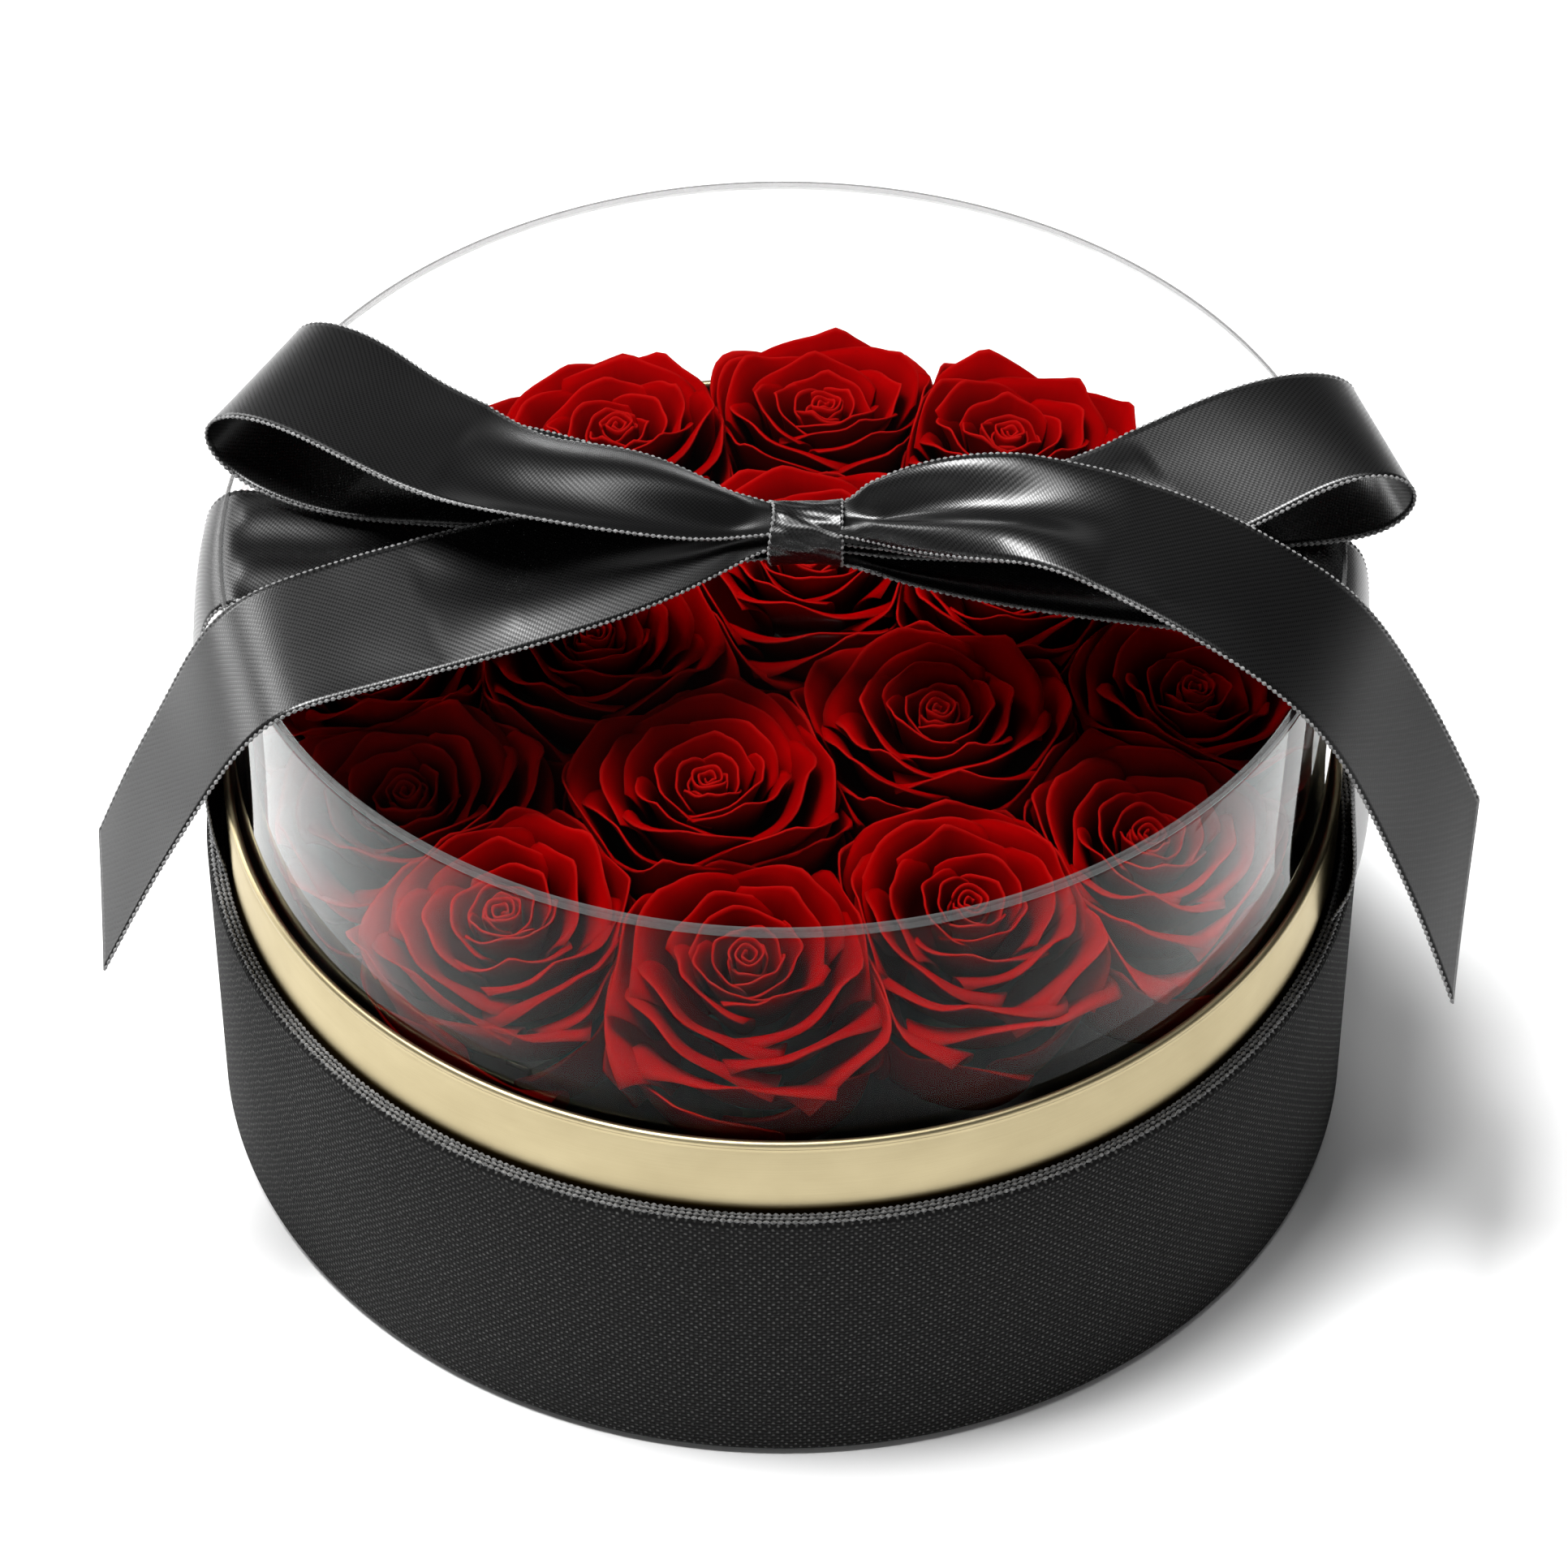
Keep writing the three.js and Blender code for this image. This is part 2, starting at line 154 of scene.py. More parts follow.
def make_world():
    """Pale round the horizon and dim overhead: flat satin and the lid's top mirror a dim ceiling."""
    world = bpy.data.worlds.new("studio")
    bpy.context.scene.world = world
    world.use_nodes = True
    tree = world.node_tree
    direction = tree.nodes.new("ShaderNodeTexCoord")
    split = tree.nodes.new("ShaderNodeSeparateXYZ")
    tree.links.new(direction.outputs["Generated"], split.inputs[0])
    ramp = tree.nodes.new("ShaderNodeValToRGB")
    tree.links.new(split.outputs["Z"], ramp.inputs["Fac"])
    ramp.color_ramp.elements[0].position = HORIZON_TOP
    ramp.color_ramp.elements[0].color = (HORIZON, HORIZON, HORIZON, 1)
    ramp.color_ramp.elements[1].position = CEILING_START
    ramp.color_ramp.elements[1].color = (CEILING, CEILING, CEILING, 1)
    tree.links.new(ramp.outputs["Color"], tree.nodes["Background"].inputs["Color"])


def make_lights():
    """Each light's azimuth and elevation in degrees, distance, width and height in metres, and watts."""
    soft_box("key_light", -85, 77, 2.3, 0.8, 0.7, 88)
    soft_box("side_light", -48, 36, 2.3, 0.7, 0.5, 14)
    soft_box("low_light", -52, 14, 2.4, 2.0, 0.55, 26)
    soft_box("top_light", 100, 84, 2.0, 0.8, 0.6, 8)
    soft_box("front_light", 195, 34, 2.3, 1.2, 0.8, 3)
    bpy.context.scene.view_settings.view_transform = "Standard"


# =========================================================== shader helpers
class Shader:
    """A material's node tree, with short ways to add what the finishes below are made of."""

    def __init__(self, name):
        self.material = bpy.data.materials.new(name)
        self.material.use_nodes = True
        self.tree = self.material.node_tree
        self.surface = self.tree.nodes["Principled BSDF"]
        self.output = self.tree.nodes["Material Output"]

    def node(self, kind, inputs=None, **settings):
        made = self.tree.nodes.new(kind)
        for key, value in settings.items():
            setattr(made, key, value)
        for key, value in (inputs or {}).items():
            self.feed(made.inputs[key], value)
        return made

    def feed(self, socket, value):
        if isinstance(value, bpy.types.NodeSocket):
            self.tree.links.new(value, socket)
        else:
            socket.default_value = value

    def math(self, operation, a, b=0.0):
        return self.node("ShaderNodeMath", {0: a, 1: b}, operation=operation).outputs[0]

    def blend(self, factor, low, high):
        made = self.node("ShaderNodeMix", data_type="RGBA")
        self.feed(made.inputs["Factor"], factor)
        self.feed(made.inputs[6], low)
        self.feed(made.inputs[7], high)
        return made.outputs[2]

    def range(self, value, low, high, to_low=0.0, to_high=1.0):
        inputs = {"Value": value, 1: low, 2: high, 3: to_low, 4: to_high}
        return self.node("ShaderNodeMapRange", inputs).outputs[0]

    def place(self, attribute="place"):
        """The x, y and z of a vector that the mesh carries."""
        source = self.node("ShaderNodeAttribute", attribute_name=attribute)
        split = self.node("ShaderNodeSeparateXYZ", {0: source.outputs["Vector"]})
        return source.outputs["Vector"], *split.outputs

    def position(self):
        return self.node("ShaderNodeTexCoord").outputs["Object"]

    def noise(self, where, scale, detail=3.0, stretch=None):
        if stretch:
            where = self.node("ShaderNodeMapping", {0: where, 3: stretch}).outputs[0]
        made = self.node("ShaderNodeTexNoise", {"Vector": where, "Scale": scale, "Detail": detail})
        return made.outputs["Fac"]

    def bump(self, height, distance, strength=1.0):
        inputs = {"Height": height, "Distance": distance, "Strength": strength}
        self.feed(self.surface.inputs["Normal"], self.node("ShaderNodeBump", inputs).outputs[0])

    def show_through(self, share, tint=(1.0, 1.0, 1.0, 1.0)):
        """Lets light straight through, except for this share of the surface."""
        clear = self.node("ShaderNodeBsdfTransparent", {"Color": tint})
        inputs = {0: share, 1: clear.outputs[0], 2: self.surface.outputs[0]}
        self.feed(self.output.inputs["Surface"], self.node("ShaderNodeMixShader", inputs).outputs[0])

    def set(self, **values):
        for key, value in values.items():
            self.feed(self.surface.inputs[key.replace("_", " ")], value)


def colour(red, green, blue):
    return (red, green, blue, 1.0)


def grey(level):
    return colour(level, level, level)


# =========================================================== finishes
def canvas_finish():
    """Black plain-woven canvas. "place" holds the distance round and along the cloth, in millimetres."""
    s = Shader("black_canvas")
    where, around, along, _ = s.place()
    turns = 2 * math.pi / (2 * THREAD / MM)
    wobble = s.range(s.noise(where, 0.35), 0, 1, -0.5, 0.5)
    warp = s.math("SINE", s.math("MULTIPLY", s.math("ADD", around, wobble), turns))
    weft = s.math("SINE", s.math("MULTIPLY", s.math("ADD", along, wobble), turns))
    over = s.range(s.math("MULTIPLY", warp, weft), -0.35, 0.35, 0.45, 1.0)
    crossing = s.math("MULTIPLY", s.math("ABSOLUTE", warp), s.math("ABSOLUTE", weft))
    height = s.math("MULTIPLY", s.math("POWER", crossing, 0.8), over)
    slub = s.noise(where, 1.6, stretch=(0.35, 1.0, 1.0))
    # Painted highlight: raised thread crossings are painted lighter, as where they catch the light; slubs
    # in the yarn vary it.
    painted_thread_highlight = s.math("MULTIPLY", s.range(height, 0.50, 0.95), s.range(slub, 0.35, 0.65, 0.2, 1.0))
    s.set(Base_Color=s.blend(painted_thread_highlight, grey(0.0008), colour(0.10, 0.10, 0.096)))
    s.set(Roughness=s.range(height, 0, 1, 0.95, 0.80), Specular_IOR_Level=0.2)
    s.set(Sheen_Weight=0.02, Sheen_Roughness=0.5)
    s.bump(height, 0.35 * MM, 0.8)
    return s.material


def thread_finish(name, dark, light):
    """Round threads of one colour, with a painted highlight where they stand up."""
    s = Shader(name)
    fleck = s.noise(s.position(), 1500)
    # Painted highlight: the threads are painted lighter where their flecks stand up.
    s.set(Base_Color=s.blend(s.range(fleck, 0.3, 0.7), grey(dark), grey(light)))
    s.set(Roughness=0.6, Sheen_Weight=0.3)
    s.bump(fleck, 0.1 * MM, 0.5)
    return s.material


def gilt_finish():
    """Pale gold metal, finely brushed round the ring, with painted shade along its foot where it meets the
    cloth.
    """
    s = Shader("gilt_metal")
    where, _, height, _ = s.place()
    brushed = s.noise(where, 2.0, 5, stretch=(0.02, 6.0, 1.0))
    cloudy = s.noise(where, 0.05)
    tone = s.math("ADD", s.math("MULTIPLY", brushed, 0.45), s.math("MULTIPLY", cloudy, 0.55))
    metal = s.blend(s.range(tone, 0.3, 0.7), colour(0.39, 0.325, 0.19), colour(0.50, 0.425, 0.26))
    # Painted shade: the metal darkens to brown along its foot, in the slot beside the cloth.
    foot = s.range(height, cover_high.z / MM + 1.6, cover_high.z / MM + 0.2)
    s.set(Base_Color=s.blend(foot, metal, colour(0.10, 0.06, 0.015)))
    s.set(Metallic=1.0, Roughness=s.range(brushed, 0.3, 0.7, 0.34, 0.46))
    s.bump(brushed, 0.02 * MM, 0.35)
    return s.material


def clear_finish():
    """Clear acrylic. Rays go straight on, and each face mirrors more the flatter it is seen."""
    s = Shader("clear_acrylic")
    smear = s.noise(s.position(), 14, 2)
    s.set(Base_Color=colour(0.97, 0.985, 0.98), Roughness=0.0, Metallic=1.0)
    s.bump(smear, 0.05 * MM, 0.02)
    facing = s.node("ShaderNodeLayerWeight", {"Blend": 0.5}).outputs["Facing"]
    mirror = s.math("ADD", s.math("POWER", facing, 5.0), 0.0015)
    s.show_through(mirror, colour(0.97, 0.975, 0.975))
    return s.material


def edge_finish():
    """The sawn edge of an acrylic sheet: grey, half see-through, with fine saw marks."""
    s = Shader("acrylic_edge")
    marks = s.noise(s.position(), 900, 2, stretch=(1.0, 1.0, 0.1))
    s.set(Base_Color=s.blend(marks, grey(0.06), grey(0.12)))
    s.set(Roughness=0.35)
    s.show_through(0.62)
    return s.material


def glint_finish():
    """The polished bevel under the plate's edge, painted pale: a painted highlight for the light gathered
    in the acrylic.
    """
    s = Shader("acrylic_bevel")
    haze = s.noise(s.position(), 60, 2)
    # Painted highlight: the bevel's colour is a pale grey-white line.
    s.set(Base_Color=s.blend(haze, grey(0.60), grey(0.85)), Roughness=0.3)
    s.show_through(0.75)
    return s.material


def petal_finish():
    """Velvety red, with painted shade that darkens each petal towards its foot. "place" holds height on
    the petal, nearness to its rim and a number of its own.
    """
    s = Shader("rose_petal")
    _, height, rim, own = s.place()
    grain, _, _, _ = s.place("grain")
    veins = s.noise(grain, 1.0, 4, stretch=(1.6, 0.12, 1.0))
    mottle = s.noise(grain, 0.22, 3)
    # Painted shade: each petal darkens to near black towards its foot, deep between the petals.
    depth = s.math("POWER", s.range(height, 0.42, 0.86), 1.4)
    body = s.blend(depth, colour(0.012, 0.0, 0.0001), colour(0.21, 0.0001, 0.0003))
    streaks = s.math("ADD", s.math("MULTIPLY", veins, 0.5), s.math("MULTIPLY", mottle, 0.5))
    shade = s.math("MULTIPLY", s.range(streaks, 0.35, 0.7), s.math("MULTIPLY", depth, 0.5))
    body = s.blend(shade, body, colour(0.28, 0.0002, 0.0006))
    body = s.blend(s.math("MULTIPLY", own, 0.35), body, colour(0.14, 0.0, 0.0003))
    edge = s.math("MULTIPLY", s.range(rim, 0.95, 1.0), 0.22)
    s.set(Base_Color=s.blend(edge, body, colour(0.55, 0.015, 0.012)))
    s.set(Roughness=0.85, Specular_IOR_Level=0.0)
    s.set(Sheen_Weight=0.015, Sheen_Roughness=0.35, Sheen_Tint=colour(1.0, 0.03, 0.02))
    s.bump(veins, 0.15 * MM, 0.35)
    return s.material


def satin_finish():
    """Black satin. "place" holds the distance along and across the ribbon, in millimetres."""
    s = Shader("black_satin")
    where, along, across, _ = s.place()
    rows = s.math("SINE", s.math("MULTIPLY", along, TWILL))
    slant = s.math("ADD", s.math("MULTIPLY", across, 0.75), s.math("MULTIPLY", along, 0.35))
    twill = s.math("MULTIPLY", rows, s.math("SINE", s.math("MULTIPLY", slant, TWILL)))
    fleck = s.noise(where, 3.0, 2, stretch=(0.35, 1.2, 1.0))
    slack = s.noise(where, 0.09, 2)
    weave = s.math("ADD", s.math("MULTIPLY", s.range(twill, -1, 1), 0.6), s.math("MULTIPLY", fleck, 0.4))
    s.set(Base_Color=s.blend(weave, grey(0.0006), colour(0.005, 0.005, 0.0052)))
    uneven = s.math("ADD", s.math("MULTIPLY", slack, 0.3), s.range(twill, -1, 1, 0, 0.7))
    s.set(Roughness=s.range(uneven, 0.15, 0.85, 0.25, 0.36))
    s.set(Specular_IOR_Level=0.5, Anisotropic=0.2)
    s.bump(twill, 0.08 * MM, 0.10)
    return s.material


def board_finish(name, dark, light):
    """Pressed board or card, with short fibres."""
    s = Shader(name)
    fibre = s.noise(s.position(), 700, 4, stretch=(1.0, 0.35, 1.0))
    blotch = s.noise(s.position(), 40)
    tone = s.math("ADD", s.math("MULTIPLY", fibre, 0.6), s.math("MULTIPLY", blotch, 0.4))
    s.set(Base_Color=s.blend(s.range(tone, 0.3, 0.7), colour(*dark), colour(*light)), Roughness=0.85)
    s.bump(fibre, 0.1 * MM, 0.4)
    return s.material


def foam_finish():
    """Dry floral foam: fine open cells."""
    s = Shader("dry_foam")
    cells = s.node("ShaderNodeTexVoronoi", {"Vector": s.position(), "Scale": 900.0}).outputs["Distance"]
    tone = s.range(cells, 0.1, 0.6)
    s.set(Base_Color=s.blend(tone, colour(0.02, 0.024, 0.018), colour(0.07, 0.08, 0.06)), Roughness=0.95)
    s.bump(cells, 0.4 * MM, 0.8)
    return s.material


def stem_finish():
    """Green stem with lengthwise fibres."""
    s = Shader("rose_green")
    fibre = s.noise(s.position(), 600, 3, stretch=(1.0, 1.0, 0.06))
    green = s.blend(s.range(fibre, 0.3, 0.7), colour(0.003, 0.005, 0.001), colour(0.014, 0.022, 0.006))
    s.set(Base_Color=green, Roughness=0.6)
    s.bump(fibre, 0.2 * MM, 0.5)
    return s.material


def floor_finish():
    s = Shader("pale_floor")
    s.set(Base_Color=grey(0.93), Roughness=0.9)
    return s.material


# =========================================================== mesh helpers
def make_piece(name, points, faces, material, attributes=None, sharp=None):
    """A smooth-shaded mesh piece. Edges that turn by more than sharp degrees stay crisp."""
    mesh = bpy.data.meshes.new(name)
    mesh.from_pydata(np.asarray(points).tolist(), [], faces)
    mesh.polygons.foreach_set("use_smooth", [True] * len(mesh.polygons))
    for key, values in (attributes or {}).items():
        layer = mesh.attributes.new(key, "FLOAT_VECTOR", "POINT")
        layer.data.foreach_set("vector", np.asarray(values, float).ravel())
    if sharp:
        mesh.set_sharp_from_angle(angle=math.radians(sharp))
    mesh.materials.append(material)
    mesh.update()
    piece = bpy.data.objects.new(name, mesh)
    bpy.context.collection.objects.link(piece)
    return piece


def arc(centre, radius, start, end, steps=5):
    """Profile points round a corner, in degrees, as (radius, height)."""
    angles = np.radians(np.linspace(start, end, steps))
    return [(centre[0] + radius * math.cos(a), centre[1] + radius * math.sin(a)) for a in angles]


def turned(name, profile, material, segments=SEGMENTS, sharp=40):
    """A closed anticlockwise profile of (radius, height), turned round the Z axis.

    "place" holds, in millimetres, the way round from the right, the height and the way along the profile.
    """
    profile = np.array(profile)
    step = np.linalg.norm(np.diff(profile, axis=0), axis=1)
    along = np.concatenate([[0], np.cumsum(step)])
    points, places, index = [], [], []
    for (radius, height), run in zip(profile, along):
        ring = 1 if radius < 1e-7 else segments
        index.append([len(points) + k % ring for k in range(segments)])
        for k in range(ring):
            turn = 2 * math.pi * k / segments
            points.append((radius * math.cos(turn), radius * math.sin(turn), height))
            mirrored = min(turn, 2 * math.pi - turn)
            places.append((mirrored * BASE_RADIUS / MM, height / MM, run / MM))
    faces = []
    count = len(profile)
    for i in range(count):
        here, there = index[i], index[(i + 1) % count]
        for k in range(segments):
            m = (k + 1) % segments
            corners = list(dict.fromkeys([here[k], here[m], there[m], there[k]]))
            if len(corners) > 2:
                faces.append(corners)
    return make_piece(name, points, faces, material, {"place": places}, sharp)


def surface_normals(grid):
    along = np.gradient(grid, axis=0)
    across = np.gradient(grid, axis=1)
    normal = np.cross(along, across)
    return normal / np.maximum(np.linalg.norm(normal, axis=2, keepdims=True), 1e-12)


def closed_sheet(grid, thickness):
    """Vertices and faces of a closed sheet of even thickness over a grid of points (rows, columns, 3)."""
    rows, cols = grid.shape[:2]
    offset = surface_normals(grid) * thickness / 2
    points = np.concatenate([(grid + offset).reshape(-1, 3), (grid - offset).reshape(-1, 3)])
    top = np.arange(rows * cols).reshape(rows, cols)
    under = top + rows * cols

    def quads(a, b, c, d):
        return np.stack([a.ravel(), b.ravel(), c.ravel(), d.ravel()], 1)

    faces = [
        quads(top[:-1, :-1], top[1:, :-1], top[1:, 1:], top[:-1, 1:]),
        quads(under[:-1, :-1], under[:-1, 1:], under[1:, 1:], under[1:, :-1]),
        quads(top[:-1, 0], under[:-1, 0], under[1:, 0], top[1:, 0]),
        quads(top[:-1, -1], top[1:, -1], under[1:, -1], under[:-1, -1]),
        quads(top[0, :-1], top[0, 1:], under[0, 1:], under[0, :-1]),
        quads(top[-1, :-1], under[-1, :-1], under[-1, 1:], top[-1, 1:]),
    ]
    return points, np.concatenate(faces)


def bead_chain(name, line, pitch, radius, material, sides=6, steps=4):
    """A closed cord of round thread loops along a line of points: its radius swells once every pitch."""
    line = np.asarray(line)
    run = np.concatenate([[0], np.cumsum(np.linalg.norm(np.diff(line, axis=0), axis=1))])
    count = max(2, round(run[-1] / pitch)) * steps
    at = np.linspace(0, run[-1], count + 1)
    middle = np.stack([np.interp(at, run, line[:, k]) for k in range(3)], 1)
    ahead = np.gradient(middle, axis=0)
    ahead /= np.linalg.norm(ahead, axis=1, keepdims=True)
    side = np.cross(ahead, (0.13, 0.21, 0.97))
    side /= np.linalg.norm(side, axis=1, keepdims=True)
    up = np.cross(side, ahead)
    swell = radius * (0.1 + 0.9 * np.abs(np.sin(np.pi * np.arange(count + 1) / steps)))
    turns = 2 * np.pi * np.arange(sides) / sides
    spokes = np.cos(turns)[None, :, None] * side[:, None] + np.sin(turns)[None, :, None] * up[:, None]
    rings = middle[:, None] + swell[:, None, None] * spokes
    faces = []
    for i in range(count):
        for k in range(sides):
            m = (k + 1) % sides
            faces.append((i * sides + k, i * sides + m, (i + 1) * sides + m, (i + 1) * sides + k))
    faces.append(tuple(reversed(range(sides))))
    faces.append(tuple(range(count * sides, (count + 1) * sides)))
    return make_piece(name, rings.reshape(-1, 3), faces, material)


def catmull_rom(stations, at):
    """Points on a uniform Catmull-Rom curve through the stations, at parameters from 0 to 1."""
    stations = np.asarray(stations, float)
    first = 2 * stations[0] - stations[1]
    last = 2 * stations[-1] - stations[-2]
    padded = np.vstack([first, stations, last])
    place = np.clip(np.asarray(at) * (len(stations) - 1), 0, len(stations) - 1)
    index = np.minimum(place.astype(int), len(stations) - 2)
    t = (place - index)[..., None]
    a, b, c, d = (padded[index + k] for k in range(4))
    return (b + 0.5 * t * (c - a) + t ** 2 * (a - 2.5 * b + 2 * c - 0.5 * d)
            + t ** 3 * (1.5 * (b - c) + 0.5 * (d - a)))


def smoothed(values, width):
    """The rows of an array averaged along it with a soft window, its two ends held."""
    reach = 3 * width
    window = np.exp(-0.5 * (np.arange(-reach, reach + 1) / width) ** 2)
    window /= window.sum()
    before = 2 * values[0] - values[reach:0:-1]
    after = 2 * values[-1] - values[-2:-reach - 2:-1]
    padded = np.vstack([before, values, after])
    return np.stack([np.convolve(padded[:, k], window, "valid") for k in range(values.shape[1])], 1)


def smoothstep(value, low, high):
    t = np.clip((value - low) / (high - low), 0, 1)
    return t * t * (3 - 2 * t)


# =========================================================== base, collar and lid
def make_cover(canvas, threads):
    """The cloth round the base, turned in at its top and foot, with rows of threads along its rim."""
    outer, hem, top = BASE_RADIUS, cover_low.z, cover_high.z
    cuff, cuff_low = CUFF_RADIUS, top - CUFF_DEPTH
    corner = COVER_CORNER
    profile = [(HEM_RADIUS, hem), *arc((outer - corner, hem + corner), corner, -90, 0)]
    profile += [(outer, hem + 20 * MM), (outer, hem + 40 * MM)]
    profile += arc((outer - corner, top - corner), corner, 0, 90)
    profile += arc((cuff + corner, top - corner), corner, 90, 180)
    profile += [(cuff, cuff_low), (cuff + CLOTH, cuff_low), (cuff + CLOTH, top - CLOTH),
                (outer - CLOTH, top - CLOTH), (outer - CLOTH, hem + CLOTH), (HEM_RADIUS, hem + CLOTH)]
    cover = turned("canvas_cover", profile, canvas)
    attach(cover, "base")
    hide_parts("wall_cloth_cover", "wall_cloth_cuff", "wall_cloth_hem")
    for row, (inset, below) in enumerate(RIM_ROWS):
        turn = np.linspace(0, 2 * np.pi, RIM_POINTS) + row * 0.0035
        radius = outer - inset
        level = np.full(RIM_POINTS, top - below)
        line = np.stack([radius * np.cos(turn), radius * np.sin(turn), level], 1)
        rim = bead_chain(f"cover_rim_threads_{row + 1}", line, RIM_PITCH, RIM_THREAD, threads)
        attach(rim, "base")


def make_collar(gilt):
    """A thin band with a groove under the bead along its top."""
    outer, inner = COLLAR_RADIUS + COLLAR_STEP, COLLAR_RADIUS - COLLAR_WALL
    middle = collar_high.z - BEAD
    profile = [(inner, collar_low.z), (outer, collar_low.z), (outer, middle - 1.7 * MM),
               (outer - COLLAR_STEP, middle - 1.3 * MM), (outer - COLLAR_STEP, middle - 0.95 * MM)]
    profile += arc((outer - BEAD, middle), BEAD, -50, 180, 14)
    profile += [(inner, middle - 0.4 * MM)]
    collar = turned("brushed_collar", profile, gilt)
    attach(collar, "base")
    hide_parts("gilt_collar")


def make_lid(clear, edge, glint):
    """The clear tube with its sawn foot, and the clear plate with its sawn edge and polished bevel."""
    outer, inner, soft = LID_RADIUS, LID_RADIUS - LID_WALL, SOFT_EDGE
    low, high = wall_low.z, wall_high.z
    profile = [(inner, low + soft), (inner + soft, low), (outer - soft, low), (outer, low + soft),
               (outer, high), (inner, high)]
    wall = turned("clear_wall", profile, clear)
    wall.data.materials.append(edge)
    for face in wall.data.polygons:
        if face.center.z < low + soft:
            face.material_index = 1
    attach(wall, "lid")
    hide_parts("lid_wall")
    low, high = plate_low.z, plate_high.z
    profile = [(0, low), (outer - soft, low), (outer, low + soft), (outer, high - soft),
               (outer - soft, high), (outer - SAWN_BAND, high), (0, high)]
    plate = turned("clear_plate", profile, clear)
    plate.data.materials.append(edge)
    plate.data.materials.append(glint)
    for face in plate.data.polygons:
        if face.center.xy.length > outer - SAWN_BAND:
            face.material_index = 2 if face.normal.z < -0.1 else 1
    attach(plate, "lid")
    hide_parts("lid_top_plate")


def finish_inner_nodes(card, board, foam, stem):
    """The part's own hidden pieces keep their shapes and get their materials."""
    finishes = {"base_lining_sheet": card, "topper_card": card, "lid_ledge_sleeve": card,
                "base_floor_board": board, "base_wall_board": board, "slot_spacer_ring": board,
                "floral_foam": foam}
    finishes.update({name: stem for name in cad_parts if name.startswith("rose_stem_")})
    for name, material in finishes.items():
        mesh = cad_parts[name].data
        mesh.materials.clear()
        mesh.materials.append(material)


# =========================================================== roses
def rose_axes(number):
    """The eye of a rose and the direction it faces, read from its stem."""
    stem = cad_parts[f"rose_stem_{number:02d}"]
    points = np.array([v.co for v in stem.data.vertices])
    tip = points[points[:, 2].argmin()]
    way = points.mean(0) - tip
    way /= np.linalg.norm(way)
    return tip + way * (STEM_LENGTH + EYE_HEIGHT), way


# Each ring of petals: radius of its rim, how many, height of the rim over the eye, how far it rolls
# outwards, how deep the petal reaches, in millimetres, and its foot's radius as a share of its rim's.
PETAL_RINGS = [
    (3.2, 3, -0.8, 0.2, 12, 0.42), (5.2, 3, 0.6, 0.6, 14, 0.42), (8.0, 3, 2.2, 1.3, 17, 0.42),
    (11.6, 4, 3.8, 2.2, 20, 0.42), (15.6, 4, 4.8, 3.2, 23, 0.42), (19.8, 5, 4.0, 4.0, 26, 0.46),
    (23.4, 5, 0.6, 4.6, 28, 0.52), (24.2, 5, -8.5, 2.6, 28, 0.72),
]


def depth_shading(radius):
    """How fast a petal darkens below its rim. Outer petals show further down, so they stay lighter."""
    return 1.0 - 0.5 * smoothstep(radius, 19, 24)


def petal_grid(chance, radius, count, rim, roll, depth, foot, turn, rows=13, columns=19):
    """One petal as a grid of points round the rose's axis, in millimetres, with its shading values."""
    b = np.linspace(0, 1, rows)[:, None]
    a = np.linspace(-1, 1, columns)[None, :]
    half = math.pi / count * chance.uniform(1.25, 1.55)
    opening = chance.uniform(0.93, 1.06)
    lift = chance.uniform(-0.9, 0.9)
    lap = chance.uniform(0.05, 0.09) * radius
    tip = chance.uniform(0.4, 1.5) * min(1.0, radius / 11)
    tip_at = chance.uniform(-0.3, 0.3)
    phase = chance.uniform(0, 6.28)
    side = np.abs(a - tip_at)
    over = np.clip((b - 0.60) / 0.40, 0, 1)
    curl = roll * (0.72 + 0.50 * side ** 1.5)
    spread = 0.60 + 0.40 * np.sin(np.pi * b ** 0.8 * 0.8)
    angle = turn + a * half * spread
    narrow = foot * radius
    cup = np.sin(np.pi / 2 * b ** 0.75)
    wave = np.sin(6.9 * a * half + phase) * 0.03 * radius * b ** 2
    r = narrow + (radius * opening - narrow) * cup + curl * over ** 1.4 + lap * a + wave
    r = r + 0.05 * radius * (1 - side) * over
    arch = (0.13 * radius + 1.1) * side ** 1.6
    crimp = np.sin(5.1 * a + 1.7 * phase) * 0.32 * over
    peak = tip * np.exp(-(side / 0.15) ** 2)
    z = rim + lift - depth * (1 - b) - arch * b + peak * over + crimp - curl * 1.05 * over ** 3
    points = np.stack([r * np.cos(angle), r * np.sin(angle), z], 2)
    nearness = b + 0 * a
    grain = np.stack([angle * radius + 40 * phase, depth * nearness, phase + 0 * angle], 2)
    return points, 1 - (1 - nearness) * depth_shading(radius), grain


def bud_grid(chance):
    """The furled middle: one sheet that winds outwards."""
    rows, columns = 9, 60
    b = np.linspace(0, 1, rows)[:, None]
    turns = np.linspace(0, 2.35, columns)[None, :]
    start = chance.uniform(0, 6.28)
    radius = (0.5 + 1.15 * turns) * (0.8 + 0.2 * b) + 0.25 * b ** 3
    angle = start + 2 * np.pi * turns
    wave = 0.35 * np.sin(3.1 * angle + start)
    z = -9 * (1 - b) - 0.5 + (0.35 * turns + wave) * b + 0 * angle
    points = np.stack([radius * np.cos(angle), radius * np.sin(angle), z], 2)
    nearness = b + 0 * angle
    grain = np.stack([angle * radius, 9 * nearness, 0 * nearness], 2)
    return points, nearness, grain


def pressed(distance, limit, margin):
    """Distance held softly below a limit: beyond limit - margin it only creeps towards it."""
    start = limit - margin
    creeping = limit - margin * np.exp(-np.maximum(distance - start, 0) / margin)
    return np.where(distance > start, creeping, distance)


